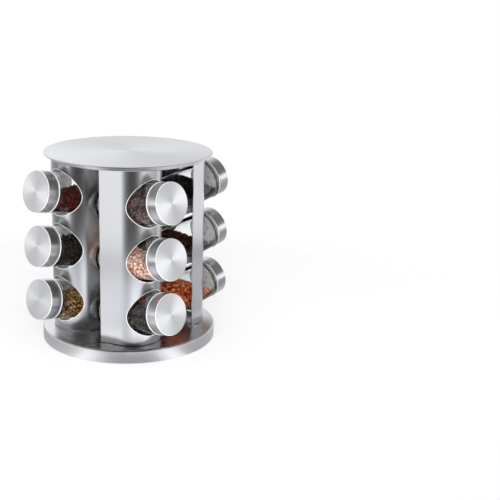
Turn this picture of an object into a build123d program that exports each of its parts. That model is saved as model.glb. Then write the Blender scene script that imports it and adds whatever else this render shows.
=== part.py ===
"""Revolving spice rack: twelve tilted glass jars in four bent sheet panels on a ball turntable.

Millimetres, +Z up, the floor at z = 0 and the turning axis on Z. The front column points to -Y.
Each jar is drawn once along its own axis, then placed in four columns and three tiers.
"""
import os
from math import cos, radians, sin

from build123d import *

os.makedirs("parts", exist_ok=True)

# Sheet and fits
sheet = 0.8             # steel sheet of the base pan, panels and top
seat_gap = 0.3          # clearance between pieces that move apart
fit_gap = 0.02          # clearance of fixed pieces
running_gap = 0.05      # radial clearance of the pivot in its hub
ball_gap = 0.05         # clearance of the balls in their grooves

# Base pan
base_d = 190.0
base_h = 14.2
base_edge_r = 2.0
skirt_gap = 1.2         # skirt above the floor
hem = 3.0               # turned-in lower edge of the skirt

# Turntable
foot_inset = 21.0       # foot plate inside the base
foot_thick = 2.6
foot_lift = 1.4         # foot plate above the floor
pad_d = 16.0            # rubber feet
pad_count = 4
pad_inset = 12.0        # their centres inside the foot plate
pad_sunk = 1.0          # depth of the pockets for the rubber feet
race_pcd = 100.0        # ball circle
race_w = 12.0           # width of both race rings
race_split = 1.0        # open height between the race rings
ball_d = 6.0
ball_count = 16
hub_d = 24.0
pivot_d = 8.0
pivot_head_d = 17.0
pivot_head_h = 1.8
pivot_sunk = 3.2        # depth of the pocket for the pivot's lower head
rivet_d = 13.0          # clinched upper head
rivet_h = 1.2

# Jar, measured along its own axis from the bottom
tilt = 11.2             # outer end up, degrees
glass_wall = 2.0
glass_bottom = 4.0
heel_r = 3.0
neck_h = 11.6
shoulder_h = 2.4
shoulder_r = 1.8
mouth_below_face = 2.3  # mouth of the glass below the cap's face
jar_len = 96.5          # with its cap
cap_d = 44.0
cap_h = 14.5
cap_wall = 0.9
cap_top = 1.0
thread_room = 1.7       # between the cap's inside and the neck
glass_inset = 0.3       # glass inside the cap's width
cap_edge_r = 1.0
lip_w = 0.9             # rolled lip at the cap's rear
lip_out = 0.35
sifter_flange = 1.0
sifter_wall = 1.2
sifter_depth = 6.0
sifter_hole_d = 4.6
sifter_hole_pcd = 18.0
sifter_hole_count = 6

# Columns and tiers
column_off = 32.0       # column beside the turning axis
tier_pitch = 59.0
tier_names = ("bottom", "middle", "top")
column_names = ("front", "right", "back", "left")
jar_floor = 0.4         # lowest jar heel above the base pan

# Panels
panel_h = 187.9
nose_r = 30.0           # outer radius of the bend
nose_inset = 53.0       # its centre inside the base's edge, along the column
leg_flare = 20.6        # legs open inwards, degrees
outer_leg = 23.0        # leg to the outside of the rack
stop_leg = 15.7         # leg that stops the next column's jars
hole_room = 2.5         # all round the glass in its hole
tab_w = 9.0             # bent feet
tab_depth = 7.0
tab_bend = 1.8          # outer bend radius
tab_relief = 0.75       # slot beside the bend
tab_edge = 4.5          # slot from the leg's free edge

# Top
plate_inset = 10.0      # plate inside the base's edge
plate_h = 4.5
cover_over = 5.5        # cover over the plate's edge
cover_edge = 1.8        # turned-down edge, with the sheet
cover_hem = 1.6

# Spice surface: height over the jar axis at mid length, and how far it slopes down to the cap
level_mid = 42.5
spice_level = {
    "front": (-1.0, 3.5, 6.5),
    "right": (14.0, 9.0, 17.0),
    "back": (4.0, 1.0, 6.0),
    "left": (6.3, 9.5, 4.5),
}
spice_slope = {"front": 9.0, "right": 24.0, "back": 12.0, "left": 5.0}

# Heights
slant = radians(tilt)
flare = radians(leg_flare)
base_top = skirt_gap + base_h
pan_under = base_top - sheet
foot_top = foot_lift + foot_thick
ball_z = (foot_top + pan_under) / 2 - 0.6
panel_top = base_top + panel_h
plate_top = panel_top + plate_h
cover_top = plate_top + sheet

# Diameters and places that follow the base
foot_d = base_d - 2 * foot_inset
pad_pcd = foot_d - 2 * pad_inset
plate_d = base_d - 2 * plate_inset
cover_d = plate_d + 2 * cover_over
nose_out = base_d / 2 - nose_inset

# Jar seat: the lowest heel clears the base pan, and each jar's inner end stops on the next panel's leg
glass_r = cap_d / 2 - glass_inset
hole_r = glass_r + hole_room
stop_off = nose_r * cos(flare) + stop_leg * sin(flare)
heel_reach = stop_off - column_off + seat_gap
end_out = heel_reach + (glass_r - heel_r) * sin(slant) + heel_r * (1 - cos(slant))
end_z = base_top + jar_floor + heel_r * (1 - sin(slant)) + (glass_r - heel_r) * cos(slant)

solids = {}


def add(name, shape):
    """Keep one named piece for export."""
    shape.label = name
    solids[name] = shape


def turned(points):
    """Solid of revolution about Z from a closed outline of (radius, height) points."""
    with BuildPart() as body:
        with BuildSketch(Plane.XZ):
            with BuildLine():
                Polyline(*points, close=True)
            make_face()
        revolve(axis=Axis.Z)
    return body.part


def jar_plane(tier):
    """Plane at the inner end of a front jar, its normal out along the jar, its Y upwards."""
    return Plane(
        origin=(-column_off, -end_out, end_z + tier * tier_pitch),
        x_dir=(1, 0, 0),
        z_dir=(0, -cos(slant), sin(slant)),
    )


def column_turn(index):
    return Location((0, 0, 0), (0, 0, 90 * index))


# Foot plate: still on the worktop, with the lower race and the hub for the pivot
race_r = race_pcd / 2
lower_race_top = ball_z - race_split / 2
groove_r = ball_d / 2 + ball_gap
bore_r = pivot_d / 2 + running_gap
hub_top = pan_under - 2 * seat_gap
with BuildPart() as foot:
    with BuildSketch(Plane.XZ):
        with BuildLine():
            Polyline(
                (bore_r, foot_lift + pivot_sunk),
                (pivot_head_d / 2 + seat_gap, foot_lift + pivot_sunk),
                (pivot_head_d / 2 + seat_gap, foot_lift),
                (foot_d / 2, foot_lift),
                (foot_d / 2, foot_top),
                (race_r + race_w / 2, foot_top),
                (race_r + race_w / 2, lower_race_top),
                (race_r - race_w / 2, lower_race_top),
                (race_r - race_w / 2, foot_top),
                (hub_d / 2, foot_top),
                (hub_d / 2, hub_top),
                (bore_r, hub_top),
                close=True,
            )
        make_face()
        with Locations((race_r, ball_z)):
            Circle(groove_r, mode=Mode.SUBTRACT)
    revolve(axis=Axis.Z)
    with BuildSketch(Plane.XY.offset(foot_lift)):
        with PolarLocations(pad_pcd / 2, pad_count, start_angle=45):
            Circle(pad_d / 2 + fit_gap)
    extrude(amount=pad_sunk, mode=Mode.SUBTRACT)
add("foot_plate", foot.part)

with BuildPart() as pads:
    with PolarLocations(pad_pcd / 2, pad_count, start_angle=45):
        Cylinder(pad_d / 2, foot_lift + pad_sunk, align=(Align.CENTER, Align.CENTER, Align.MIN))
    chamfer(pads.edges().group_by(Axis.Z)[0], 0.5)
add("rubber_feet", pads.part)

with BuildPart() as balls:
    with Locations((0, 0, ball_z)):
        with PolarLocations(race_r, ball_count):
            Sphere(ball_d / 2)
add("bearing_balls", balls.part)

with BuildPart() as upper:
    with BuildSketch(Plane.XZ):
        upper_low = ball_z + race_split / 2
        with Locations((race_r, (upper_low + pan_under) / 2)):
            Rectangle(race_w, pan_under - upper_low)
        with Locations((race_r, ball_z)):
            Circle(groove_r, mode=Mode.SUBTRACT)
    revolve(axis=Axis.Z)
add("upper_race", upper.part)

head_top = foot_lift + pivot_sunk - seat_gap
add("pivot", turned([
    (0, head_top - pivot_head_h),
    (pivot_head_d / 2, head_top - pivot_head_h),
    (pivot_head_d / 2, head_top),
    (pivot_d / 2, head_top),
    (pivot_d / 2, base_top),
    (rivet_d / 2, base_top),
    (rivet_d / 2 - rivet_h / 2, base_top + rivet_h),
    (0, base_top + rivet_h),
]))

# Base pan: pressed disc with a skirt and a turned-in hem
with BuildPart() as pan:
    with BuildSketch(Plane.XZ):
        with BuildLine():
            Polyline(
                (pivot_d / 2 + fit_gap, base_top),
                (base_d / 2, base_top),
                (base_d / 2, skirt_gap),
                (base_d / 2 - hem, skirt_gap),
                (base_d / 2 - hem, skirt_gap + sheet),
                (base_d / 2 - sheet, skirt_gap + sheet),
                (base_d / 2 - sheet, pan_under),
                (pivot_d / 2 + fit_gap, pan_under),
                close=True,
            )
        make_face()
    revolve(axis=Axis.Z)
    outer = pan.edges().filter_by(GeomType.CIRCLE).sort_by(SortBy.RADIUS)[-2:]
    fillet(outer.sort_by(Axis.Z)[-1], base_edge_r)
    fillet(outer.sort_by(Axis.Z)[0], sheet / 2)
add("base_pan", pan.part)

# One panel: a sheet bent round the nose into a flared channel, with slanted holes and bent feet
nose = Vector(-column_off, -nose_out)
with BuildPart() as panel:
    with BuildSketch(Plane.XY.offset(base_top)):
        with BuildLine():
            first = nose + Vector(-nose_r * cos(flare), -nose_r * sin(flare))
            last = nose + Vector(nose_r * cos(flare), -nose_r * sin(flare))
            Line(first + Vector(-sin(flare), cos(flare)) * outer_leg, first)
            ThreePointArc(first, nose + Vector(0, -nose_r), last)
            Line(last, last + Vector(sin(flare), cos(flare)) * stop_leg)
            offset(amount=sheet, side=Side.LEFT, closed=True)
        make_face()
    extrude(amount=panel_h)
    for tier in range(len(tier_names)):
        with BuildSketch(jar_plane(tier)):
            Circle(hole_r)
        extrude(amount=jar_len, mode=Mode.SUBTRACT)
    for side, start, leg in ((-1, first, outer_leg), (1, last, stop_leg)):
        along = Vector(side * sin(flare), cos(flare))
        inward = Vector(-side * cos(flare), sin(flare))
        at = start + along * (leg - tab_edge - tab_relief - tab_w / 2)
        for z, up in ((base_top, 1), (panel_top, -1)):
            bend = Plane(origin=(at.X, at.Y, z), x_dir=inward, z_dir=along * (side * up))
            with BuildSketch(bend):
                with Locations((sheet / 2, tab_bend / 2)):
                    Rectangle(2 * sheet, tab_bend)
            extrude(amount=tab_w / 2 + tab_relief, both=True, mode=Mode.SUBTRACT)
            with BuildSketch(bend):
                with BuildLine():
                    RadiusArc((0, tab_bend), (tab_bend, 0), -tab_bend)
                    Line((tab_bend, 0), (tab_depth, 0))
                    Line((tab_depth, 0), (tab_depth, sheet))
                    Line((tab_depth, sheet), (tab_bend, sheet))
                    RadiusArc((tab_bend, sheet), (sheet, tab_bend), tab_bend - sheet)
                    Line((sheet, tab_bend), (0, tab_bend))
                make_face()
            extrude(amount=tab_w / 2, both=True)
for index, column in enumerate(column_names):
    add("panel_" + column, column_turn(index) * panel.part)

# Top: a shallow pan on the panels and a flat cover with a turned edge
with BuildPart() as plate:
    with BuildSketch(Plane.XZ):
        with BuildLine():
            Polyline(
                (0, panel_top),
                (plate_d / 2, panel_top),
                (plate_d / 2, plate_top),
                (plate_d / 2 - sheet, plate_top),
                (plate_d / 2 - sheet, panel_top + sheet),
                (0, panel_top + sheet),
                close=True,
            )
        make_face()
    revolve(axis=Axis.Z)
    fillet(plate.edges().group_by(Axis.Z)[0], sheet)
add("top_plate", plate.part)

with BuildPart() as cover:
    with BuildSketch(Plane.XZ):
        with BuildLine():
            Polyline(
                (0, cover_top),
                (cover_d / 2, cover_top),
                (cover_d / 2, cover_top - cover_edge),
                (cover_d / 2 - cover_hem, cover_top - cover_edge),
                (cover_d / 2 - cover_hem, plate_top),
                (0, plate_top),
                close=True,
            )
        make_face()
    revolve(axis=Axis.Z)
    fillet(cover.edges().group_by(Axis.Z)[-1], sheet)
    fillet(cover.edges().group_by(Axis.Z)[0].sort_by(SortBy.RADIUS)[-1], sheet / 2)
add("top_cover", cover.part)

# One jar along Z: glass, cap and sifter
mouth = jar_len - mouth_below_face
shoulder = mouth - neck_h - shoulder_h
neck_r = cap_d / 2 - cap_wall - thread_room
bore = neck_r - glass_wall
inside_r = glass_r - glass_wall
with BuildPart() as glass:
    with BuildSketch(Plane.XZ):
        with BuildLine():
            Polyline(
                (0, 0),
                (glass_r, 0),
                (glass_r, shoulder),
                (neck_r, shoulder + shoulder_h),
                (neck_r, mouth),
                (bore, mouth),
                (bore, shoulder + shoulder_h - glass_wall / 2),
                (inside_r, shoulder - glass_wall / 2),
                (inside_r, glass_bottom),
                (0, glass_bottom),
                close=True,
            )
        make_face()
    revolve(axis=Axis.Z)
    fillet(glass.edges().group_by(Axis.Z)[0], heel_r)
    rings = glass.edges().filter_by(GeomType.CIRCLE)
    fillet(rings.filter_by_position(Axis.Z, shoulder - 0.1, shoulder + 0.1), shoulder_r)
    fillet(glass.edges().filter_by_position(Axis.Z, glass_bottom - 0.1, glass_bottom + 0.1)
           .filter_by(GeomType.CIRCLE), heel_r - seat_gap)

with BuildPart() as cap:
    rear = jar_len - cap_h
    with BuildSketch(Plane.XZ):
        with BuildLine():
            Polyline(
                (0, jar_len),
                (cap_d / 2, jar_len),
                (cap_d / 2, rear + lip_w),
                (cap_d / 2 + lip_out, rear + lip_w),
                (cap_d / 2 + lip_out, rear),
                (cap_d / 2 - cap_wall, rear),
                (cap_d / 2 - cap_wall, jar_len - cap_top),
                (0, jar_len - cap_top),
                close=True,
            )
        make_face()
    revolve(axis=Axis.Z)
    fillet(cap.edges().group_by(Axis.Z)[-1], cap_edge_r)
    fillet(cap.edges().filter_by(GeomType.CIRCLE).sort_by(SortBy.RADIUS)[-2:], 0.8 * lip_out)

with BuildPart() as sifter:
    plug_r = bore - fit_gap
    deck = mouth - sifter_depth
    with BuildSketch(Plane.XZ):
        with BuildLine():
            Polyline(
                (0, deck),
                (plug_r, deck),
                (plug_r, mouth),
                (neck_r - seat_gap, mouth),
                (neck_r - seat_gap, mouth + sifter_flange),
                (plug_r - sifter_wall, mouth + sifter_flange),
                (plug_r - sifter_wall, deck + sifter_wall),
                (0, deck + sifter_wall),
                close=True,
            )
        make_face()
    revolve(axis=Axis.Z)
    with BuildSketch(Plane.XY.offset(deck)):
        Circle(sifter_hole_d / 2)
        with PolarLocations(sifter_hole_pcd / 2, sifter_hole_count):
            Circle(sifter_hole_d / 2)
    extrude(amount=sifter_wall, mode=Mode.SUBTRACT)

# Twelve jars, each with its spice as it slid when the jar was put in
for index, column in enumerate(column_names):
    for tier, level in enumerate(tier_names):
        place = column_turn(index) * jar_plane(tier).location
        name = column + "_" + level
        add("jar_" + name, place * glass.part)
        add("cap_" + name, place * cap.part)
        add("sifter_" + name, place * sifter.part)
        with BuildPart() as spice:
            with BuildSketch(Plane.XY.offset(glass_bottom + seat_gap)):
                Circle(inside_r - seat_gap)
            extrude(amount=shoulder - glass_bottom - 4 * seat_gap)
            fillet(spice.edges().group_by(Axis.Z)[0], heel_r - seat_gap)
            lean = radians(tilt + spice_slope[column])
            split(bisect_by=Plane(
                origin=(0, spice_level[column][tier], level_mid),
                z_dir=(0, cos(lean), sin(lean)),
            ), keep=Keep.BOTTOM)
        add("spice_" + name, place * spice.part)

for name, shape in solids.items():
    export_step(shape, "parts/" + name + ".step")

print(len(solids), "pieces, height", round(cover_top, 2), "jar end", round(end_out, 2))
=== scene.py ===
"""Looks for the revolving spice rack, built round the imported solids. Metres, +Z up, floor at z = 0."""
import math

import bmesh
import bpy
import numpy as np
from mathutils import Matrix, Vector


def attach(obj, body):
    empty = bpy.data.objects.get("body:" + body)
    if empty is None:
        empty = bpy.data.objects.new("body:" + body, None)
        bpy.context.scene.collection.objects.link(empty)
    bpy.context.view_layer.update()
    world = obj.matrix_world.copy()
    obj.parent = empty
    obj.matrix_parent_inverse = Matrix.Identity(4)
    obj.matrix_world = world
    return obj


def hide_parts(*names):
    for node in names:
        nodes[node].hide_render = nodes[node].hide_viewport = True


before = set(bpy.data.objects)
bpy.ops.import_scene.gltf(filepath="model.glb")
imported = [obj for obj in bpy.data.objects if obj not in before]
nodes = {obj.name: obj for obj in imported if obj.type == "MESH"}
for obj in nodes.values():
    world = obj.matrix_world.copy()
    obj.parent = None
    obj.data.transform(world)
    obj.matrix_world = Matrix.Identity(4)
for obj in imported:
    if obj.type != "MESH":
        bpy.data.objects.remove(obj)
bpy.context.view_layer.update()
scene = bpy.context.scene
scene.view_settings.view_transform = "Standard"

MM = 0.001
COLUMNS = ("front", "right", "back", "left")
TIERS = ("bottom", "middle", "top")

# Sizes repeated from the model, in millimetres
TILT = math.radians(11.2)
JAR_LEN = 96.5
COLUMN_OFF = 32.0
TIER_PITCH = 59.0
GLASS_R = 21.7
GLASS_WALL = 2.0
GLASS_BOTTOM = 4.0
HEEL_R = 3.0
NECK_R = 19.4
NECK_H = 11.6
SHOULDER_H = 2.4
MOUTH = JAR_LEN - 2.3
SHOULDER = MOUTH - NECK_H - SHOULDER_H
CAP_R = 22.0
CAP_H = 14.5
CAP_WALL = 0.9
CAP_TOP = 1.0
CAP_REAR = JAR_LEN - CAP_H
CAP_MIDDLE = JAR_LEN - CAP_H / 2
SHEET = 0.8
SEAT_GAP = 0.3
BASE_TOP = 15.4
BASE_R = 95.0
SKIRT = 1.2
HEM = 3.0
JAR_FLOOR = 0.4
PIVOT_R = 4.02
PANEL_TOP = BASE_TOP + 187.9
PLATE_TOP = PANEL_TOP + 4.5
PLATE_R = 85.0
COVER_TOP = PLATE_TOP + SHEET
COVER_R = 90.5
COVER_EDGE = 1.8
NOSE_R = 30.0
NOSE_OUT = 42.0
FLARE = math.radians(20.6)
OUTER_LEG = 23.0
STOP_LEG = 15.7
HOLE_R = 24.2
TAB_W = 9.0
TAB_DEPTH = 7.0
TAB_BEND = 1.8
TAB_RELIEF = 0.75
TAB_EDGE = 4.5
HEEL_REACH = NOSE_R * math.cos(FLARE) + STOP_LEG * math.sin(FLARE) - COLUMN_OFF + SEAT_GAP
END_OUT = HEEL_REACH + (GLASS_R - HEEL_R) * math.sin(TILT) + HEEL_R * (1 - math.cos(TILT))
END_Z = BASE_TOP + JAR_FLOOR + HEEL_R * (1 - math.sin(TILT)) + (GLASS_R - HEEL_R) * math.cos(TILT)
LEVEL_MID = 42.5
LEVELS = {
    "front": (-1.0, 3.5, 6.5),
    "right": (14.0, 9.0, 17.0),
    "back": (4.0, 1.0, 6.0),
    "left": (6.3, 9.5, 4.5),
}
SLOPES = {"front": 9.0, "right": 24.0, "back": 12.0, "left": 5.0}

# Fine form added here, in millimetres
RIM_SOFT = 0.8          # rounding of a hole's outer rim
RIM_BLUNT = 0.05        # broken edge of its inner rim
FOOT_GAP = 0.7          # lower edge of the sheet above the base pan, beside its feet
EDGE_R = 0.4            # rounding of hems and of the cover's lower edge
PAN_EDGE_R = 2.0
INSIDE_HEEL = 2.7       # rounding inside the bottom of the glass
MOUTH_R = 1.0           # half the rounded mouth
CAP_EDGE_R = 1.0
CAP_INSIDE_R = 0.8
LIP_R = 0.47            # rolled rear lip of the cap
THREAD_PITCH = 3.2
THREAD_TURNS = 1.6
THREAD_START = MOUTH - 8.2
THREAD_OUT = 0.9
THREAD_SUNK = 0.25
THREAD_W = 1.9

# Fineness of the meshes
DISC_SEGMENTS = 256
JAR_SEGMENTS = 112
FLOOR_SEGMENTS = 96
HOLE_LINES = 65
BEND_LINES = 9
TAB_STEPS = 8
THREAD_STEPS = int(56 * THREAD_TURNS)


def quarter_turn(column):
    """Turn of a column about the rack's axis."""
    return Matrix.Rotation(math.radians(90 * COLUMNS.index(column)), 4, "Z")


def jar_matrix(column, tier):
    """Frame at a jar's inner end: Z out along the jar, Y upwards."""
    out = Vector((0, -math.cos(TILT), math.sin(TILT)))
    across = Vector((1, 0, 0))
    place = Matrix((across, out.cross(across), out)).transposed().to_4x4()
    place.translation = Vector((-COLUMN_OFF, -END_OUT, END_Z + TIERS.index(tier) * TIER_PITCH)) * MM
    return quarter_turn(column) @ place


# Mesh helpers
def new_object(name, data, matrix=Matrix()):
    obj = bpy.data.objects.new(name, data)
    scene.collection.objects.link(obj)
    obj.matrix_world = matrix
    return obj


def new_mesh(name, points, faces, *materials):
    """Mesh from points in millimetres."""
    mesh = bpy.data.meshes.new(name)
    mesh.from_pydata([tuple(c * MM for c in point) for point in points], [], faces)
    for material in materials:
        mesh.materials.append(material)
    return mesh


def smooth(mesh, angle):
    """Smooth shading, with edges sharper than an angle in degrees left sharp."""
    mesh.shade_smooth()
    mesh.set_sharp_from_angle(angle=math.radians(angle))


def face_outwards(mesh, weld=False):
    """Turn all faces outwards, and first join the points that coincide if asked."""
    work = bmesh.new()
    work.from_mesh(mesh)
    if weld:
        bmesh.ops.remove_doubles(work, verts=work.verts, dist=1e-7)
        bmesh.ops.dissolve_degenerate(work, edges=work.edges, dist=1e-8)
    bmesh.ops.recalc_face_normals(work, faces=work.faces)
    work.to_mesh(mesh)
    work.free()


def arc(centre_r, centre_z, radius, start, end, count):
    """Points of an arc in a profile, angles in degrees."""
    return [(centre_r + radius * math.cos(angle), centre_z + radius * math.sin(angle))
            for angle in np.radians(np.linspace(start, end, count))]


def lathe(name, profile, segments, *materials, closed=False):
    """Mesh turned about Z from (radius, height) points in millimetres; a radius of 0 is a pole."""
    points = []
    rings = []
    for r, z in profile:
        start = len(points)
        if r == 0:
            points.append((0, 0, z))
        else:
            for turn in range(segments):
                angle = 2 * math.pi * turn / segments
                points.append((r * math.cos(angle), r * math.sin(angle), z))
        rings.append(range(start, len(points)))
    pairs = list(zip(rings, rings[1:]))
    if closed:
        pairs.append((rings[-1], rings[0]))
    faces = []
    for low, high in pairs:
        for i in range(segments):
            j = (i + 1) % segments
            if len(low) == 1:
                faces.append((low[0], high[j], high[i]))
            elif len(high) == 1:
                faces.append((low[i], low[j], high[0]))
            else:
                faces.append((low[i], low[j], high[j], high[i]))
    return new_mesh(name, points, faces, *materials)


# Materials
STUDIO_TINT = (0.985, 0.995, 1.02)


class Nodes:
    """A node tree with short forms for the nodes used here."""

    def __init__(self, tree):
        self.tree = tree

    def add(self, kind, **settings):
        node = self.tree.nodes.new("ShaderNode" + kind)
        for key, value in settings.items():
            setattr(node, key, value)
        return node

    def feed(self, socket, value):
        """Link an output to an input, or set a constant on it."""
        if isinstance(value, bpy.types.NodeSocket):
            self.tree.links.new(value, socket)
        else:
            socket.default_value = value

    def fed(self, kind, values, **settings):
        """New node with inputs fed by name."""
        node = self.add(kind, **settings)
        for key, value in values.items():
            self.feed(node.inputs[key], value)
        return node

    def calc(self, operation, *values, kind="Math", **settings):
        """Number from numbers, or from vectors with kind VectorMath."""
        node = self.add(kind, operation=operation, **settings)
        for socket, value in zip(node.inputs, values):
            self.feed(socket, value)
        return node.outputs["Value"]

    def coords(self, which="Object"):
        return self.add("TexCoord").outputs[which]

    def stretched(self, scale):
        """Object coordinates with a scale for each axis."""
        return self.fed("Mapping", {"Scale": scale, "Vector": self.coords()}).outputs["Vector"]

    def noise(self, vector, scale, detail):
        values = {"Vector": vector, "Scale": scale, "Detail": detail, "Roughness": 0.6}
        return self.fed("TexNoise", values).outputs["Fac"]

    def span(self, value, low, high, from_low=0.3, from_high=0.7, course="LINEAR"):
        """Value brought from one range to another. The usual first range is that of a noise."""
        values = {"Value": value, "From Min": from_low, "From Max": from_high, "To Min": low, "To Max": high}
        return self.fed("MapRange", values, interpolation_type=course).outputs["Result"]

    def step(self, value, start, end):
        """Soft step from 0 to 1."""
        return self.span(value, 0.0, 1.0, start, end, "SMOOTHSTEP")

    def mix(self, factor, first, second, blend="MIX"):
        values = {"Factor": factor, "A": first, "B": second}
        return self.fed("Mix", values, data_type="RGBA", blend_type=blend).outputs["Result"]

    def mix_shaders(self, factor, first, second):
        return self.fed("MixShader", {"Fac": factor, 1: first, 2: second}).outputs[0]

    def ramp(self, value, stops, course="LINEAR"):
        """Colour ramp from (place, colour) stops."""
        node = self.fed("ValToRGB", {"Fac": value})
        node.color_ramp.interpolation = course
        elements = node.color_ramp.elements
        while len(elements) < len(stops):
            elements.new(0.5)
        for element, (place, colour) in zip(elements, stops):
            element.position = place
            element.color = (*colour, 1)
        return node.outputs["Color"]

    def light_ramp(self, value, stops):
        """Studio light from (place, brightness) stops."""
        return self.ramp(value, [(at, [level * c for c in STUDIO_TINT]) for at, level in stops], "EASE")

    def round_ramp(self, vector, stops):
        """Studio light by azimuth, from (degrees from +X, brightness) stops."""
        parts = self.fed("SeparateXYZ", {0: vector}).outputs
        azimuth = self.calc("ARCTAN2", parts["Y"], parts["X"])
        unit = self.span(azimuth, 0.0, 1.0, -math.pi, math.pi)
        return self.light_ramp(unit, [((degrees + 180) / 360, level) for degrees, level in stops])


class Material(Nodes):
    """A material with a principled shader."""

    def __init__(self, name, **values):
        self.mat = bpy.data.materials.new(name)
        self.mat.use_nodes = True
        super().__init__(self.mat.node_tree)
        self.bsdf = self.tree.nodes["Principled BSDF"]
        self.put(**values)

    def put(self, **values):
        """Feed inputs of the shader, with _ for a space in their names."""
        for key, value in values.items():
            self.feed(self.bsdf.inputs[key.replace("_", " ")], value)

    def bump(self, height, strength, distance):
        values = {"Height": height, "Strength": strength, "Distance": distance}
        self.put(Normal=self.fed("Bump", values).outputs["Normal"])

    def ring_coords(self):
        """Distance from the object's own Z axis and height along it, for rings."""
        parts = self.fed("SeparateXYZ", {0: self.coords()}).outputs
        flat = self.fed("CombineXYZ", {"X": parts["X"], "Y": parts["Y"]}).outputs[0]
        distance = self.calc("LENGTH", flat, kind="VectorMath")
        return self.fed("CombineXYZ", {"X": distance, "Z": parts["Z"]}).outputs[0]


def steel_upright():
    """Sheet brushed up and down."""
    m = Material("panel_steel", Metallic=1.0, Anisotropic=0.6, Anisotropic_Rotation=0.25)
    streak = m.noise(m.stretched((1.0, 1.0, 0.012)), 2200.0, 3.0)
    fine = m.noise(m.stretched((1.0, 1.0, 0.02)), 4200.0, 2.0)
    m.put(Base_Color=m.ramp(streak, ((0.3, (0.795, 0.795, 0.805)), (0.7, (0.815, 0.815, 0.82)))))
    m.put(Roughness=m.span(streak, 0.242, 0.258))
    m.put(Tangent=m.fed("CombineXYZ", {"Z": 1.0}).outputs[0])
    m.bump(fine, 0.002, 0.00002)
    return m.mat


def steel_turned(name, rough, spread, aniso, tone=(0.76, 0.80), ring=2600.0, bump=0.05, metal=1.0):
    """Spun or round-brushed steel with fine rings about the object's Z axis."""
    m = Material(name, Metallic=metal, Anisotropic=aniso, Anisotropic_Rotation=0.25)
    rings = m.noise(m.ring_coords(), ring, 3.0)
    cloud = m.noise(m.coords(), 40.0, 3.0)
    dark, pale = tone
    m.put(Base_Color=m.ramp(rings, ((0.3, (dark, dark, dark + 0.01)), (0.7, (pale, pale, pale + 0.005)))))
    cloudy = m.span(cloud, rough - spread * 0.5, rough + spread * 0.5)
    m.put(Roughness=m.calc("ADD", m.span(rings, -spread, spread), cloudy))
    m.put(Tangent=m.add("Tangent", direction_type="RADIAL", axis="Z").outputs[0])
    m.bump(rings, bump, 0.00005)
    return m.mat


def glass_clear():
    m = Material("clear_glass", Base_Color=(0.97, 0.985, 0.975, 1), Roughness=0.0, IOR=1.45,
                 Transmission_Weight=1.0, Specular_Tint=(0.35, 0.35, 0.36, 1))
    m.bump(m.noise(m.coords(), 60.0, 1.0), 0.04, 0.0004)
    return m.mat


def plastic(name, colour, rough, grain, translucent=0.0, clear=0.0):
    m = Material(name, Transmission_Weight=clear, Subsurface_Weight=translucent,
                 Subsurface_Radius=(0.002, 0.002, 0.002))
    mottle = m.noise(m.coords(), grain, 4.0)
    dark = [c * 0.88 for c in colour]
    pale = [min(1, c * 1.06) for c in colour]
    m.put(Base_Color=m.ramp(mottle, ((0.0, dark), (1.0, pale))))
    m.put(Roughness=m.span(mottle, rough - 0.06, rough + 0.08))
    m.bump(mottle, 0.15, 0.00006)
    return m.mat


def spice_material(name, rough, spec, translucent=0.0):
    """Grains coloured one by one from their tint attribute."""
    m = Material(name, Specular_IOR_Level=spec, Subsurface_Weight=translucent,
                 Subsurface_Radius=(0.0015, 0.0009, 0.0007))
    mottle = m.noise(m.coords(), 1400.0, 3.0)
    shade = m.ramp(mottle, ((0.25, (0.62, 0.6, 0.58)), (0.7, (1.12, 1.1, 1.08))))
    tint = m.add("Attribute", attribute_name="tint").outputs["Color"]
    m.put(Base_Color=m.mix(1.0, tint, shade, "MULTIPLY"))
    m.put(Roughness=m.span(mottle, rough - 0.1, rough + 0.1))
    m.bump(mottle, 0.35, 0.0003)
    return m.mat


def linear(*levels):
    """Linear colour from levels of 0 to 255."""
    return tuple(((v / 255 + 0.055) / 1.055) ** 2.4 if v > 10 else v / 255 / 12.92 for v in levels)


PANEL = steel_upright()
# Hole rims and cap edges: pale, mostly matt steel that paints a glint along these edges
PAINTED_GLINT = steel_turned("painted_glint_steel", 0.4, 0.04, 0.0, tone=(0.92, 0.95), bump=0.02, metal=0.3)
COVER = steel_turned("cover_steel", 0.38, 0.03, 0.45, bump=0.03)
BASE = steel_turned("base_steel", 0.28, 0.03, 0.3, tone=(0.70, 0.74), bump=0.02)
CAP = steel_turned("cap_steel", 0.36, 0.03, 0.9, ring=3600.0, bump=0.04)
BALL = steel_turned("ball_steel", 0.1, 0.03, 0.0)
GLASS = glass_clear()
SIFTER = plastic("sifter_white", (0.95, 0.96, 0.96), 0.42, 500.0, translucent=0.25, clear=0.5)
LINER = plastic("liner_white", (0.94, 0.94, 0.93), 0.6, 400.0)
FOOT = plastic("foot_black", (0.035, 0.035, 0.038), 0.5, 700.0)
RUBBER = plastic("rubber_grey", (0.09, 0.09, 0.09), 0.75, 900.0)


def dress(node, material):
    """Give a solid that is shown as it is its material."""
    mesh = nodes[node].data
    mesh.materials.clear()
    mesh.materials.append(material)


dress("pivot", BALL)
dress("bearing_balls", BALL)
dress("upper_race", FOOT)
dress("foot_plate", FOOT)
dress("rubber_feet", RUBBER)


# Panels: the bent sheet with its slanted holes, drawn as upright lines across the bend.
# A line has its foot first, then the two edges of each hole from below, then its head
HOLE_EDGES = range(1, 2 * len(TIERS) + 1)
HEAD = 2 * len(TIERS) + 1
STRIPS = range(0, HEAD, 2)
LEGS = {-1: OUTER_LEG, 1: STOP_LEG}
SLOTS = {side: (leg - TAB_EDGE - 2 * TAB_RELIEF - TAB_W, leg - TAB_EDGE) for side, leg in LEGS.items()}


def bend_point(angle, depth):
    """Plan point on the bend, at an angle from its middle and a depth into the sheet."""
    r = NOSE_R - depth
    return r * math.sin(angle), -NOSE_OUT - r * math.cos(angle)


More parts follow.
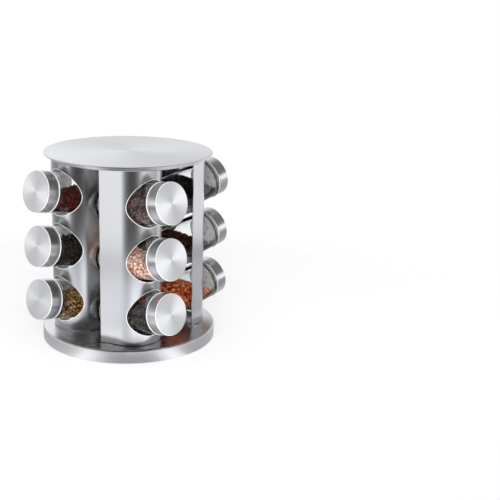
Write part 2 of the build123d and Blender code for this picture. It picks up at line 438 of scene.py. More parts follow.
def leg_point(side, run, depth):
    """Plan point on a leg, at a run from the end of the bend and a depth into the sheet."""
    r = NOSE_R - depth
    return (side * (r * math.cos(FLARE) + run * math.sin(FLARE)),
            -NOSE_OUT - r * math.sin(FLARE) + run * math.cos(FLARE))


def hole_edges(x, y, tier, radius):
    """Lower and upper edge of a hole on the upright line through a plan point."""
    half = math.sqrt(max(radius * radius - x * x, 0.0))
    middle = END_Z + tier * TIER_PITCH
    return [middle + (k * half - (y + END_OUT) * math.sin(TILT)) / math.cos(TILT) for k in (-1, 1)]


def facing(x, y):
    """Outward direction of the sheet at a plan point, and the point's depth into it."""
    dx, dy = x + COLUMN_OFF, y + NOSE_OUT
    if abs(math.atan2(dx, -dy)) < math.pi / 2 - FLARE:
        r = math.hypot(dx, dy)
        return Vector((dx / r, dy / r, 0)), NOSE_R - r
    out = Vector((math.copysign(math.cos(FLARE), dx), -math.sin(FLARE), 0))
    return out, NOSE_R - out.x * dx - out.y * dy


def true_skin(mesh):
    """Shade both skins by the sheet's own bend, so that the small rim faces don't dent the reflections."""
    at = [facing(v.co.x / MM, v.co.y / MM) for v in mesh.vertices]
    normals = [Vector(n.vector) for n in mesh.corner_normals]
    for face in mesh.polygons:
        for depth, sign in ((0.0, 1), (SHEET, -1)):
            if face.material_index == 0 and all(abs(at[v][1] - depth) < 0.01 for v in face.vertices):
                for corner in face.loop_indices:
                    normals[corner] = sign * at[mesh.loops[corner].vertex_index][0]
    mesh.normals_split_custom_set(normals)


def upright_line(points, x, y, radius, slotted=0):
    """Add one upright line to the points, shorter at both ends where a tab is cut free."""
    start = len(points)
    heights = [BASE_TOP + (TAB_BEND if slotted else FOOT_GAP)]
    for tier in range(len(TIERS)):
        heights += hole_edges(x, y, tier, radius)
    heights.append(PANEL_TOP - slotted * TAB_BEND)
    points.extend((x - COLUMN_OFF, y, z) for z in heights)
    return range(start, len(points))


def hole_lines(points, depth, radius):
    """Lines across the holes."""
    lines = []
    for across in np.sin(np.linspace(-math.pi / 2, math.pi / 2, HOLE_LINES)):
        angle = math.asin(radius * across / (NOSE_R - depth))
        lines.append(upright_line(points, *bend_point(angle, depth), radius))
    return lines


def side_lines(points, side, depth, radius):
    """Lines from a leg's free edge to the holes."""
    start, end = SLOTS[side]
    runs = ((LEGS[side], 0), (end, 0), (end, 1), (start, 1), (start, 0))
    lines = [upright_line(points, *leg_point(side, run, depth), radius, cut) for run, cut in runs]
    edge = math.asin(radius / (NOSE_R - depth))
    for angle in np.linspace(math.pi / 2 - FLARE, edge, BEND_LINES)[:-1]:
        lines.append(upright_line(points, *bend_point(side * angle, depth), radius))
    return lines


def skin(points, depth, radius):
    """Lines across the holes of one skin, and all its lines from edge to edge."""
    holes = hole_lines(points, depth, radius)
    left = side_lines(points, -1, depth, radius)
    return holes, left + holes + side_lines(points, 1, depth, radius)[::-1]


def add_tab(points, faces, side, z, up):
    """Bent tab at the foot or head of a leg."""
    inside = TAB_BEND - SHEET
    turns = np.linspace(0, math.pi / 2, TAB_STEPS)
    tab = [(TAB_BEND - TAB_BEND * math.cos(a), TAB_BEND - TAB_BEND * math.sin(a)) for a in turns]
    tab += [(TAB_DEPTH, 0.0), (TAB_DEPTH, SHEET)]
    tab += [(TAB_BEND - inside * math.cos(a), TAB_BEND - inside * math.sin(a)) for a in turns[::-1]]
    near = len(points)
    far = near + len(tab)
    start, end = SLOTS[side]
    for run in (start + TAB_RELIEF, end - TAB_RELIEF):
        for depth, height in tab:
            x, y = leg_point(side, run, depth)
            points.append((x - COLUMN_OFF, y, z + up * height))
    faces.append(tuple(range(near, far)))
    faces.append(tuple(range(far, far + len(tab))))
    for i in range(len(tab)):
        j = (i + 1) % len(tab)
        faces.append((near + i, near + j, far + j, far + i))


def panel_mesh():
    """Closed sheet: outer and inner skin, softened hole rims, edges, and the bent feet and heads."""
    points = []
    faces = []
    outer_holes, outer = skin(points, 0.0, HOLE_R + RIM_SOFT)
    inner_holes, inner = skin(points, SHEET, HOLE_R + RIM_BLUNT)
    for lines in (outer, inner):
        for a, b in zip(lines, lines[1:]):
            if points[a[1]][:2] != points[b[1]][:2]:
                faces += [(a[k], b[k], b[k + 1], a[k + 1]) for k in STRIPS]
    rims = [outer_holes]
    for turn in np.radians((30, 60, 90)):
        depth = RIM_SOFT * (1 - math.cos(turn))
        rims.append(hole_lines(points, depth, HOLE_R + RIM_SOFT * (1 - math.sin(turn))))
    rims += [hole_lines(points, SHEET - RIM_BLUNT, HOLE_R), inner_holes]
    first_rim = len(faces)
    for near, far in zip(rims, rims[1:]):
        for i in range(HOLE_LINES - 1):
            faces += [(near[i][k], near[i + 1][k], far[i + 1][k], far[i][k]) for k in HOLE_EDGES]
    last_rim = len(faces)
    for i in range(len(outer) - 1):
        faces += [(outer[i][k], outer[i + 1][k], inner[i + 1][k], inner[i][k]) for k in (0, HEAD)]
    for a, b in ((outer[0], inner[0]), (outer[-1], inner[-1])):
        faces += [(a[k], a[k + 1], b[k + 1], b[k]) for k in STRIPS]
    for side in LEGS:
        add_tab(points, faces, side, BASE_TOP, 1)
        add_tab(points, faces, side, PANEL_TOP, -1)

    mesh = new_mesh("panel_sheet", points, faces, PANEL, PAINTED_GLINT)
    # Rim faces take the pale steel: a painted glint round each hole
    for face in mesh.polygons[first_rim:last_rim]:
        face.material_index = 1
    face_outwards(mesh, weld=True)
    smooth(mesh, 35)
    true_skin(mesh)
    return mesh


sheet_mesh = panel_mesh()
for column in COLUMNS:
    sheet = new_object("sheet_" + column, sheet_mesh, quarter_turn(column))
    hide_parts("panel_" + column)
    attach(sheet, "carousel")


# Base pan, top plate and cover: fine turned skins with rounded edges
def turned_piece(name, node, profile, material):
    mesh = lathe(name, profile, DISC_SEGMENTS, material, closed=profile[0][0] > 0)
    face_outwards(mesh)
    smooth(mesh, 32)
    piece = new_object(name, mesh)
    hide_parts(node)
    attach(piece, "carousel")


turned_piece("pan_skin", "base_pan", (
    [(PIVOT_R, BASE_TOP), (40.0, BASE_TOP), (BASE_R - PAN_EDGE_R - 0.6, BASE_TOP)]
    + arc(BASE_R - PAN_EDGE_R, BASE_TOP - PAN_EDGE_R, PAN_EDGE_R, 90, 0, 12)
    + [(BASE_R, SKIRT + 6.0)]
    + arc(BASE_R - EDGE_R, SKIRT + EDGE_R, EDGE_R, 0, -90, 5)
    + [(BASE_R - HEM, SKIRT), (BASE_R - HEM, SKIRT + SHEET), (BASE_R - SHEET, SKIRT + SHEET)]
    + [(BASE_R - SHEET, BASE_TOP - SHEET), (PIVOT_R, BASE_TOP - SHEET)]), BASE)
turned_piece("plate_skin", "top_plate", (
    [(0, PANEL_TOP), (40.0, PANEL_TOP)]
    + arc(PLATE_R - SHEET, PANEL_TOP + SHEET, SHEET, -90, 0, 8)
    + [(PLATE_R, PLATE_TOP), (PLATE_R - SHEET, PLATE_TOP)]
    + [(PLATE_R - SHEET, PANEL_TOP + SHEET), (0, PANEL_TOP + SHEET)]), COVER)
turned_piece("cover_skin", "top_cover", (
    [(0, COVER_TOP), (30.0, COVER_TOP), (60.0, COVER_TOP), (COVER_R - SHEET - 0.6, COVER_TOP)]
    + arc(COVER_R - SHEET, COVER_TOP - SHEET, SHEET, 90, 0, 8)
    + arc(COVER_R - EDGE_R, COVER_TOP - COVER_EDGE + EDGE_R, EDGE_R, 0, -90, 5)
    + [(COVER_R - 2 * SHEET, COVER_TOP - COVER_EDGE), (COVER_R - 2 * SHEET, PLATE_TOP)]
    + [(0, PLATE_TOP)]), COVER)

# Glass: fine turned walls with a rounded heel, a pushed-up bottom and a rounded mouth
INNER_R = GLASS_R - GLASS_WALL
BORE_R = NECK_R - GLASS_WALL
NECK_FOOT = SHOULDER + SHOULDER_H
glass_profile = (
    [(0, 1.0), (8, 0.8), (14, 0.25), (16.2, 0.0)]
    + arc(GLASS_R - HEEL_R, HEEL_R, HEEL_R, -90, 0, 8)
    + [(GLASS_R, 30), (GLASS_R, SHOULDER - 2.0)]
    + arc(GLASS_R - 2.4, SHOULDER - 1.0, 2.4, 0, 52, 7)
    + arc(NECK_R + 1.0, NECK_FOOT + 0.6, 1.0, 232, 180, 5)
    + [(NECK_R, MOUTH - MOUTH_R)]
    + arc(NECK_R - MOUTH_R, MOUTH - MOUTH_R, MOUTH_R, 0, 180, 9)
    + [(BORE_R, MOUTH - 1.2), (BORE_R, NECK_FOOT - 1.0), (BORE_R + 0.5, SHOULDER + 0.2)]
    + [(INNER_R - 0.35, SHOULDER - 1.6), (INNER_R, SHOULDER - 3.0), (INNER_R, 30)]
    + arc(INNER_R - INSIDE_HEEL, GLASS_BOTTOM + INSIDE_HEEL, INSIDE_HEEL, 0, -90, 7)
    + [(8, GLASS_BOTTOM + 0.1), (0, GLASS_BOTTOM + 0.2)]
)
glass_mesh = lathe("jar_glass", glass_profile, JAR_SEGMENTS, GLASS)
smooth(glass_mesh, 60)

# Cap: spun shell with a rounded face edge, a rolled rear lip and a pale lined inside
CAP_INNER_R = CAP_R - CAP_WALL
CAP_INNER_TOP = JAR_LEN - CAP_TOP
cap_profile = (
    [(0, JAR_LEN), (6, JAR_LEN), (13, JAR_LEN), (19.4, JAR_LEN), (20.1, JAR_LEN - 0.02)]
    + arc(CAP_R - CAP_EDGE_R, JAR_LEN - CAP_EDGE_R, CAP_EDGE_R, 88, 0, 8)
    + [(CAP_R, CAP_REAR + 6), (CAP_R, CAP_REAR + 1.25)]
    + [(CAP_R - 0.12, CAP_REAR + 1.1), (CAP_R - 0.1, CAP_REAR + 0.98)]
    + arc(CAP_R - 0.12, CAP_REAR + LIP_R, LIP_R, 85, -90, 9)
    + [(CAP_INNER_R + 0.15, CAP_REAR), (CAP_INNER_R, CAP_REAR + 0.2)]
    + [(CAP_INNER_R, CAP_INNER_TOP - CAP_INSIDE_R)]
    + arc(CAP_INNER_R - CAP_INSIDE_R, CAP_INNER_TOP - CAP_INSIDE_R, CAP_INSIDE_R, 0, 90, 5)
    + [(8, CAP_INNER_TOP), (0, CAP_INNER_TOP)]
)
centred = [(r, z - CAP_MIDDLE) for r, z in cap_profile]
cap_mesh = lathe("cap_shell", centred[::-1], JAR_SEGMENTS, CAP, PAINTED_GLINT, LINER)
smooth(cap_mesh, 40)
# Thin rings at the cap's face edge and rear lip take the pale steel: a painted glint
GLINT_PAINTED_EDGES = ((JAR_LEN - 0.6, JAR_LEN - 0.1), (CAP_REAR + 0.2, CAP_REAR + 0.95))
for face in cap_mesh.polygons:
    height = face.center.z / MM + CAP_MIDDLE
    radius = math.hypot(face.center.x, face.center.y) / MM
    if radius > CAP_R - 0.8 and any(low < height < high for low, high in GLINT_PAINTED_EDGES):
        face.material_index = 1
    if radius < CAP_INNER_R + 0.01 and CAP_REAR + 0.2 < height < CAP_INNER_TOP + 0.01:
        face.material_index = 2


def neck_thread():
    """One thread ridge round the neck, fading at its ends."""
    points = []
    faces = [(3, 2, 1, 0)]
    for step in range(THREAD_STEPS + 1):
        along = step / THREAD_STEPS
        angle = 2 * math.pi * THREAD_TURNS * along
        fade = min(1.0, along * 9, (1 - along) * 9)
        ridge = THREAD_OUT * fade
        section = ((-THREAD_SUNK, -1 / 2), (ridge, -1 / 5), (ridge, 1 / 5), (-THREAD_SUNK, 1 / 2))
        for out, share in section:
            r = NECK_R + out
            z = THREAD_START + THREAD_PITCH * THREAD_TURNS * along + THREAD_W * share * (0.4 + 0.6 * fade)
            points.append((r * math.cos(angle), r * math.sin(angle), z))
        if step:
            new = 4 * step
            old = new - 4
            for i in range(4):
                j = (i + 1) % 4
                faces.append((old + i, old + j, new + j, new + i))
    end = 4 * THREAD_STEPS
    faces.append((end, end + 1, end + 2, end + 3))
    mesh = new_mesh("neck_thread", points, faces, GLASS)
    smooth(mesh, 50)
    return mesh


thread_mesh = neck_thread()

# Spice: a rough core with loose grains all over it, lying level in the tilted jar.
# Each kind has the shape and size of its grains, and their colours with the share of each; the core colour,
# far darker than the grains, is painted shade in the gaps between them
SPICE_R = INNER_R - 0.3
SPICE_START = GLASS_BOTTOM + 0.5
SPICE_STOP = SHOULDER - 1.0
ANY_TURN = (0, 6.28)
KINDS = {
    "red_flakes": dict(
        shape="flake", size=(2.2, 3.8), count=2200, rough=0.5, spec=0.4, core=(26, 6, 6),
        tints=((96, 18, 14), (72, 12, 11), (126, 36, 22), (50, 9, 10), (170, 112, 58)),
        share=(10, 10, 4, 9, 1)),
    "black": dict(
        shape="corn", size=(1.9, 3.2), count=2300, rough=0.45, spec=0.4, core=(9, 7, 7),
        tints=((26, 20, 18), (17, 13, 12), (42, 30, 24), (62, 44, 34)),
        share=(6, 6, 3, 1)),
    "seeds": dict(
        shape="seed", size=(2.3, 3.2), count=2000, rough=0.45, spec=0.45, core=(24, 17, 9),
        tints=((116, 88, 46), (150, 118, 70), (84, 62, 32), (184, 152, 104)),
        share=(5, 4, 4, 2)),
    "brown_mix": dict(
        shape="chip", size=(1.7, 3.4), count=3000, rough=0.55, spec=0.35, core=(34, 24, 23),
        tints=((96, 66, 56), (130, 98, 88), (62, 44, 40), (172, 140, 128), (44, 33, 31)),
        share=(5, 4, 5, 2, 4)),
    "pink_salt": dict(
        shape="crystal", size=(2.2, 4.0), count=2800, rough=0.3, spec=0.5, translucent=0.3,
        tints=((214, 164, 144), (234, 200, 186), (172, 116, 94), (246, 230, 222)),
        share=(5, 5, 4, 3), core=(160, 104, 84)),
    "dark_pepper": dict(
        shape="corn", size=(2.0, 3.3), count=2200, rough=0.5, spec=0.4, core=(12, 11, 11),
        tints=((38, 34, 34), (24, 22, 23), (62, 52, 46), (126, 104, 82), (96, 44, 36)),
        share=(8, 8, 3, 1, 1)),
    "orange_salt": dict(
        shape="crystal", size=(2.4, 4.4), count=2900, rough=0.32, spec=0.5, translucent=0.25,
        tints=((188, 84, 48), (212, 120, 76), (146, 54, 30), (232, 168, 128)),
        share=(5, 4, 4, 2), core=(118, 44, 24)),
    "dark_flakes": dict(
        shape="flake", size=(2.6, 4.6), count=2200, rough=0.5, spec=0.4, core=(18, 10, 9),
        tints=((62, 32, 25), (40, 23, 19), (90, 44, 31), (124, 66, 44)),
        share=(6, 6, 4, 1), slot="red_flakes"),
    "green_leaf": dict(
        shape="flake", size=(1.8, 3.2), count=2300, rough=0.6, spec=0.3, core=(74, 78, 50),
        tints=((150, 154, 112), (178, 180, 142), (116, 122, 82), (198, 196, 166)),
        share=(5, 4, 3, 2)),
}
FILL = {
    "front_top": "brown_mix", "front_middle": "pink_salt", "front_bottom": "dark_pepper",
    "left_top": "red_flakes", "left_middle": "black", "left_bottom": "seeds",
    "right_top": "black", "right_middle": "dark_flakes", "right_bottom": "orange_salt",
    "back_top": "seeds", "back_middle": "green_leaf", "back_bottom": "brown_mix",
}
spice_mats = {
    kind: spice_material("spice_" + kind, info["rough"], info["spec"], info.get("translucent", 0.0))
    for kind, info in KINDS.items()
}
CORE_INSET = 0.9        # core inside the clear radius
CORE_SUNK = 0.7         # core below the level of the spice
CORE_SECTIONS = 34
CORE_AROUND = 26
CORE_ACROSS = 9
HEAP_H = 0.45           # waves of the core's level surface
HEAP_ACROSS = 0.33
HEAP_ALONG = 0.17
GRAIN_SHAPES = 6        # different grains of each kind
TO_WALL = 0.56          # share of the tries along the glass
TO_LEVEL = 0.9          # share along the glass and on the level surface, the rest at the ends
HEAP = (0.0, 0.0, 0.0, 0.5, 1.1)    # lift of a grain on the level surface, in half sizes
FLAKE_POINTS = 6


def ball_shape(rings, around):
    """Low ball: points and faces."""
    points = [(0, 0, 1.0)]
    for ring in range(1, rings):
        polar = math.pi * ring / rings
        for i in range(around):
            turn = 2 * math.pi * (i + 0.5 * (ring % 2)) / around
            out = math.sin(polar)
            points.append((out * math.cos(turn), out * math.sin(turn), math.cos(polar)))
    last = len(points)
    points.append((0, 0, -1.0))
    faces = [(0, 1 + i, 1 + (i + 1) % around) for i in range(around)]
    for ring in range(rings - 2):
        upper = 1 + ring * around
        lower = upper + around
        for i in range(around):
            j = (i + 1) % around
            faces.append((upper + i, lower + i, lower + j, upper + j))
    lower = last - around
    faces += [(last, lower + (i + 1) % around, lower + i) for i in range(around)]
    return np.array(points, float), faces


def crystal_shape(rng):
    corners = [(x, y, z) for x in (-1, 1) for y in (-1, 1) for z in (-1, 1)]
    points = np.array(corners, float) * (0.62, 0.55, 0.5)
    points = points * rng.uniform(0.75, 1.2, points.shape)
    return points, [(0, 1, 3, 2), (4, 6, 7, 5), (0, 4, 5, 1), (2, 3, 7, 6), (0, 2, 6, 4), (1, 5, 7, 3)]


def flake_shape(rng):
    n = FLAKE_POINTS
    turns = np.linspace(0, 2 * math.pi, n, endpoint=False) + rng.uniform(-0.3, 0.3, n)
    reach = rng.uniform(0.6, 1.1, n)
    x = reach * np.cos(turns)
    y = 0.7 * reach * np.sin(turns)
    z = 0.25 * x * x - 0.12 * y
    points = np.concatenate([np.c_[x, y, z + 0.09], np.c_[x, y, z - 0.09]])
    faces = [tuple(range(n)), tuple(range(2 * n - 1, n - 1, -1))]
    return points, faces + [(i, n + i, n + (i + 1) % n, (i + 1) % n) for i in range(n)]


def chip_shape(rng):
    points, faces = ball_shape(3, 4)
    return points * (0.85, 0.65, 0.5) * rng.uniform(0.75, 1.2, points.shape), faces


def seed_shape(rng):
    points, faces = ball_shape(4, 5)
    return points * (0.82, 0.78, 1.0), faces


def corn_shape(rng):
    points, faces = ball_shape(4, 6)
    return points * rng.uniform(0.9, 1.08, points.shape) * 0.85, faces


SHAPERS = {"crystal": crystal_shape, "flake": flake_shape, "chip": chip_shape,
           "seed": seed_shape, "corn": corn_shape}


def level_at(along, level, lean):
    """Height of the spice over the jar's axis, at a distance along the jar."""
    return level - (along - LEVEL_MID) * math.tan(lean)


def wall_at(along):
    """Clear radius inside the glass, at a distance along the jar."""
    into_heel = GLASS_BOTTOM + 0.3 + INSIDE_HEEL - along
    if into_heel > 0:
        rounding = math.sqrt(max(INSIDE_HEEL * INSIDE_HEEL - into_heel * into_heel, 0.01))
        return SPICE_R - INSIDE_HEEL + rounding
    return SPICE_R


def spice_core(rng, level, lean):
    """Core: cross-sections cut off along the level surface, with a low heap in it."""
    phase, phase_along = rng.uniform(*ANY_TURN, 4)[:2]
    runs_out = LEVEL_MID + (level + 0.93 * (SPICE_R - CORE_INSET) - CORE_SUNK) / math.tan(lean)
    last = min(SPICE_STOP - 0.5, runs_out)
    points = []
    for along in np.linspace(SPICE_START + 0.5, last, CORE_SECTIONS):
        r = wall_at(along) - CORE_INSET
        top = max(min(level_at(along, level, lean) - CORE_SUNK, r * 0.985), -r * 0.97)
        half = math.acos(top / r)
        ring = [(r * math.sin(turn), r * math.cos(turn))
                for turn in np.linspace(half, 2 * math.pi - half, CORE_AROUND)]
        left, right = ring[-1][0], ring[0][0]
        for share in np.linspace(0, 1, CORE_ACROSS + 2)[1:-1]:
            x = left + (right - left) * share
            wave = math.sin(x * HEAP_ACROSS + phase) * math.sin(along * HEAP_ALONG + phase_along)
            ring.append((x, top + HEAP_H * wave * math.sin(math.pi * share)))
        points += [(x, y, along) for x, y in ring]
    count = CORE_AROUND + CORE_ACROSS
    end = len(points) - count
    faces = [tuple(range(count - 1, -1, -1)), tuple(range(end, end + count))]
    for start in range(0, end, count):
        for i in range(count):
            j = (i + 1) % count
            faces.append((start + i, start + j, start + count + j, start + count + i))
    return points, faces


def grain_seat(rng, half_size, level, lean):
    """Place and facing of a grain at the glass, on the surface or at an end; None if it doesn't fit."""
    pick = rng.random()
    if pick < TO_WALL:
        along = rng.uniform(SPICE_START, SPICE_STOP)
        turn = rng.uniform(0, 2 * math.pi)
        r = wall_at(along) - half_size * 0.62 - 0.05
        x, y = r * math.sin(turn), r * math.cos(turn)
        fits = y <= level_at(along, level, lean) - half_size * 0.2
        normal = Vector((x, y, 0)).normalized()
    elif pick < TO_LEVEL:
        along = rng.uniform(SPICE_START + 0.5, SPICE_STOP)
        x = rng.uniform(-SPICE_R, SPICE_R)
        y = level_at(along, level, lean) - 0.3 + rng.normal(0, 0.4) + rng.choice(HEAP) * half_size
        fits = x * x + y * y <= (wall_at(along) - half_size * 0.7) ** 2
        normal = Vector((0, math.cos(lean), math.sin(lean)))
    else:
        at_bottom = rng.random() < 0.6
        along = SPICE_START + half_size * 0.6 if at_bottom else SPICE_STOP - half_size * 0.6
        x, y = rng.uniform(-SPICE_R, SPICE_R, 2)
        fits = x * x + y * y <= (wall_at(along) - half_size * 0.7) ** 2 and y <= level_at(along, level, lean)
        normal = Vector((0, 0, -1.0 if at_bottom else 1.0))
    return ((x, y, along), normal) if fits else None


def rotation(angle, axis):
    return np.array(Matrix.Rotation(angle, 3, axis))


def grain_turn(rng, shape, normal):
    """Turn of a grain on its seat: flat grains lie along it, the others lie anyhow."""
    turn = rotation(rng.uniform(*ANY_TURN), "Z")
    tip = rotation(rng.normal(0, 0.45 if shape in ("flake", "chip") else 1.6), "X")
    spin = rotation(rng.uniform(*ANY_TURN), "Z")
    if shape == "seed":
        tip = rotation(math.pi / 2 + rng.normal(0, 0.3), "X")
    return np.array(normal.to_track_quat("Z", "Y").to_matrix()) @ spin @ tip @ turn


def keep_inside(points):
    """Draw the points of a grain back inside the glass."""
    reach = np.hypot(points[:, 0], points[:, 1])
    points[:, :2] *= np.minimum(1, (SPICE_R + 0.12) / np.maximum(reach, 1e-6))[:, None]
    points[:, 2] = np.clip(points[:, 2], GLASS_BOTTOM + 0.35, SHOULDER + 0.6)


def spice_mesh(name, kind, level, lean, seed):
    """Core and grains of one jar, each point with its tint."""
    info = KINDS[kind]
    rng = np.random.default_rng(seed)
    points, faces = spice_core(rng, level, lean)
    # Dark core colour: painted shade between the grains
    core = linear(*info["core"])
    tints = [tuple(c * gain for c in core) for gain in rng.uniform(0.6, 1.35, len(points))]
    shapes = [SHAPERS[info["shape"]](rng) for _ in range(GRAIN_SHAPES)]
    palette = [linear(*tint) for tint in info["tints"]]
    share = np.array(info["share"], float)
    placed = 0
    while placed < info["count"]:
        half_size = rng.uniform(*info["size"]) / 2
        seat = grain_seat(rng, half_size, level, lean)
        if seat is None:
            continue
        place, normal = seat
        shape_points, shape_faces = shapes[rng.integers(GRAIN_SHAPES)]
        grain = (shape_points * half_size) @ grain_turn(rng, info["shape"], normal).T + place
        keep_inside(grain)
        start = len(points)
        points.extend(map(tuple, grain))
        faces.extend(tuple(start + i for i in face) for face in shape_faces)
        tone = palette[rng.choice(len(palette), p=share / share.sum())]
        gain = rng.uniform(0.78, 1.18)
        tints += [tuple(min(1, c * gain) for c in tone)] * len(grain)
        placed += 1
    mesh = new_mesh(name, points, faces, spice_mats[kind])
    layer = mesh.color_attributes.new("tint", "FLOAT_COLOR", "POINT")
    layer.data.foreach_set("color", np.array([tint + (1.0,) for tint in tints], np.float32).ravel())
    smooth(mesh, 55 if info["shape"] in ("seed", "corn") else 25)
    return mesh


# Jars: glass, thread, cap and spice in each place
for column_index, column in enumerate(COLUMNS):
    for tier_index, tier in enumerate(TIERS):
        name = column + "_" + tier
        place = jar_matrix(column, tier)
        body = "jar_body_" + name
        jar = new_object("glass_" + name, glass_mesh, place)
        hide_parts("jar_" + name)
        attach(jar, body)
        ridge = new_object("thread_" + name, thread_mesh, place)
        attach(ridge, body)
        for clear in (jar, ridge):
            clear.visible_shadow = False
            clear.visible_diffuse = False
        cap_place = place @ Matrix.Translation((0, 0, CAP_MIDDLE * MM))
        cap = new_object("shell_" + name, cap_mesh, cap_place)
        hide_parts("cap_" + name)
        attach(cap, "cap_body_" + name)
        kind = FILL[name]
        lean = TILT + math.radians(SLOPES[column])
        seed = 100 + 10 * column_index + tier_index
        pile = spice_mesh("grains_" + name, kind, LEVELS[column][tier_index], lean, seed)
        grains = new_object("grains_" + name, pile, place)
        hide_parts("spice_" + name)
        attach(grains, body)
        dress("sifter_" + name, SIFTER)

# Floor and light: a white table that ends softly, in a studio that is darker on the camera's side.
# Brightness is given by azimuth in degrees from +X, and on the table also by distance in metres
STUDIO = (
    (-180, 1.2), (-175, 0.85), (-168, 0.22), (-158, 0.07), (-140, 0.04), (-122, 0.05), (-112, 0.12),
    (-104, 0.4), (-96, 0.8), (-74, 0.75), (-50, 0.45), (-26, 0.34), (-8, 0.9), (8, 0.9), (16, 0.7),
    (30, 1.0), (66, 1.0), (92, 0.35), (124, 0.15), (150, 0.17), (162, 0.3), (168, 1.1), (174, 1.4),
    (180, 1.2))
HORIZON = (
    (-180, 1.1), (-172, 0.6), (-164, 0.2), (-150, 0.08), (-115, 0.08), (-100, 0.9), (-85, 1.4),
    (-60, 1.5), (-30, 1.5), (-5, 1.3), (20, 1.0), (66, 1.0), (95, 0.9), (115, 1.35), (145, 1.4),
    (170, 1.3), (180, 1.1))
SKY = (
    (-180, 0.3), (-168, 0.12), (-155, 0.05), (-115, 0.05), (-100, 0.15), (-85, 0.22), (-20, 0.22),
    (20, 0.4), (36, 0.6), (46, 0.9), (54, 1.15), (75, 1.1), (95, 0.6), (130, 0.32), (180, 0.3))
WALLS_RISE = (-0.17, -0.09)
SKY_RISE = (0.10, 0.30)
TABLE_ROUND = (
    (-180, 1.2), (-160, 0.95), (-150, 0.78), (-142, 1.0), (-132, 1.5), (-112, 1.5), (-90, 1.0),
    (-70, 0.75), (-44, 0.3), (-15, 0.7), (20, 0.9), (66, 0.9), (97, 0.4), (130, 0.35), (160, 0.45),
    (172, 1.05), (180, 1.2))
TABLE_NEAR = ((0.0, 0.8), (0.18, 0.8), (0.30, 0.80), (0.36, 0.72), (0.41, 0.25), (0.44, 0.03))
TABLE_HEM = (
    (-180, 0.72), (-174, 0.9), (-168, 1.25), (-164, 1.3), (-158, 1.1), (-152, 0.8), (-145, 0.55),
    (-138, 0.46), (-130, 0.45), (-121, 0.47), (-114, 0.6), (-107, 1.05), (-101, 1.35), (-95, 1.2),
    (-88, 0.65), (-80, 0.5), (0, 0.7), (60, 0.8), (120, 0.5), (158, 0.55), (170, 0.62), (180, 0.72))
TABLE_R = 0.38
TABLE_END = 0.48
HEM_R = 0.125
HEM_END = 0.165
TABLE_GLOW = 0.62       # share of plain white in the table as the camera sees it
# Light that matt surfaces gather: brighter towards the window side
WINDOW_WAY = Vector((-0.8, -0.5, 0.35)).normalized()
WINDOW = ((0.0, 0.3), (0.5, 0.4), (0.8, 0.75), (1.0, 1.5))


def floor_material():
    """Matt white to the eye, and a pattern of light to the steel that mirrors it."""
    m = Material("floor_white", Base_Color=(0.92, 0.92, 0.92, 1), Roughness=0.6)
    path = m.add("LightPath").outputs
    seen = m.calc("ADD", path["Is Camera Ray"], path["Is Transmission Ray"], use_clamp=True)
    white = m.add("Emission").outputs[0]
    plain = m.mix_shaders(m.calc("MULTIPLY", seen, TABLE_GLOW), m.bsdf.outputs["BSDF"], white)

    # What the steel mirrors: one pattern close to the rack's hem, another one past it
    distance = m.calc("LENGTH", m.coords(), kind="VectorMath")
    reach = m.span(distance, 0.0, 1.0, 0.0, TABLE_END)
    near = m.light_ramp(reach, [(r / TABLE_END, level) for r, level in TABLE_NEAR])
    far_field = m.mix(1.0, near, m.round_ramp(m.coords(), TABLE_ROUND), "MULTIPLY")
    field = m.mix(m.step(distance, HEM_R, HEM_END), m.round_ramp(m.coords(), TABLE_HEM), far_field)
    mirrored = m.fed("Emission", {"Color": field}).outputs[0]
    table = m.mix_shaders(path["Is Glossy Ray"], plain, mirrored)
    clear = m.add("BsdfTransparent").outputs[0]
    whole = m.mix_shaders(m.step(distance, TABLE_R, TABLE_END), table, clear)
    m.feed(m.tree.nodes["Material Output"].inputs["Surface"], whole)
    return m.mat


floor = new_object("floor", lathe("floor", [(0, 0), (TABLE_END / MM, 0)], FLOOR_SEGMENTS, floor_material()))


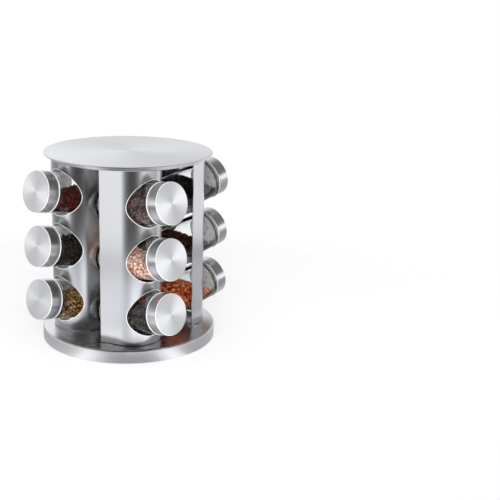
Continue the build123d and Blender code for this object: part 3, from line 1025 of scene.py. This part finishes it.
def studio_world():
    """White behind the rack, the studio in its steel, and the window's light on matt surfaces."""
    world = bpy.data.worlds.new("studio")
    world.use_nodes = True
    w = Nodes(world.node_tree)
    way = w.coords("Generated")
    height = w.fed("SeparateXYZ", {0: way}).outputs["Z"]
    walls = w.mix(w.step(height, *WALLS_RISE), w.round_ramp(way, STUDIO), w.round_ramp(way, HORIZON))
    sky = w.mix(w.step(height, *SKY_RISE), walls, w.round_ramp(way, SKY))

    # Plain white for the camera, for rays through glass before any mirror, and for mirrored rays after glass
    path = w.add("LightPath").outputs
    glossy = path["Is Glossy Ray"]
    unmirrored = w.calc("LESS_THAN", path["Glossy Depth"], 0.5)
    direct = w.calc("MULTIPLY", unmirrored, path["Is Transmission Ray"])
    through = w.calc("MULTIPLY_ADD", path["Transmission Depth"], glossy, direct, use_clamp=True)
    seen = w.calc("ADD", path["Is Camera Ray"], through, use_clamp=True)
    backdrop = w.mix(seen, sky, (1, 1, 1, 1))

    aim = w.calc("DOT_PRODUCT", way, WINDOW_WAY, kind="VectorMath")
    window = w.light_ramp(w.span(aim, 0.0, 1.0, -1.0, 1.0), WINDOW)
    scattered = w.calc("GREATER_THAN", path["Diffuse Depth"], 0.5)
    background = world.node_tree.nodes["Background"]
    w.feed(background.inputs["Color"], w.mix(scattered, backdrop, window))
    w.feed(background.inputs["Strength"], 1.0)
    return world


scene.world = studio_world()
LAMPS_AIM = Vector((0, 0, 0.1))


def softbox(name, location, size, power):
    """Square lamp aimed at the rack, which neither steel nor glass shows."""
    light = bpy.data.lights.new(name, "AREA")
    light.shape = "RECTANGLE"
    light.size = size
    light.size_y = size
    light.energy = power
    lamp = new_object(name, light)
    lamp.location = location
    lamp.rotation_euler = (LAMPS_AIM - Vector(location)).to_track_quat("-Z", "Y").to_euler()
    lamp.visible_glossy = False
    lamp.visible_transmission = False


softbox("key_left", (-1.0, -0.8, 1.0), 0.9, 5.0)
softbox("fill_right", (0.9, -1.1, 0.6), 0.8, 2.5)
softbox("fill_front", (-0.9, -1.0, 0.5), 0.6, 13.0)
softbox("fill_top", (0.1, 0.1, 1.6), 1.4, 6.0)

# Camera, at the photograph's angle
HEADING = math.radians(48.77)
PITCH = math.radians(16.12)
ROLL = math.radians(1.66)
flat_ahead = Vector((math.sin(HEADING), math.cos(HEADING), 0))
ahead = math.cos(PITCH) * flat_ahead - math.sin(PITCH) * Vector((0, 0, 1))
level_right = Vector((math.cos(HEADING), -math.sin(HEADING), 0))
level_up = level_right.cross(ahead)
right = math.cos(ROLL) * level_right + math.sin(ROLL) * level_up
up = math.cos(ROLL) * level_up - math.sin(ROLL) * level_right
view = Matrix((right, up, -ahead)).transposed().to_4x4()
view.translation = Vector((-0.7430, -0.8288, 0.4205))
camera_data = bpy.data.cameras.new("camera")
camera_data.lens = 75.0
camera_data.sensor_width = 36.0
scene.camera = new_object("camera", camera_data, view)
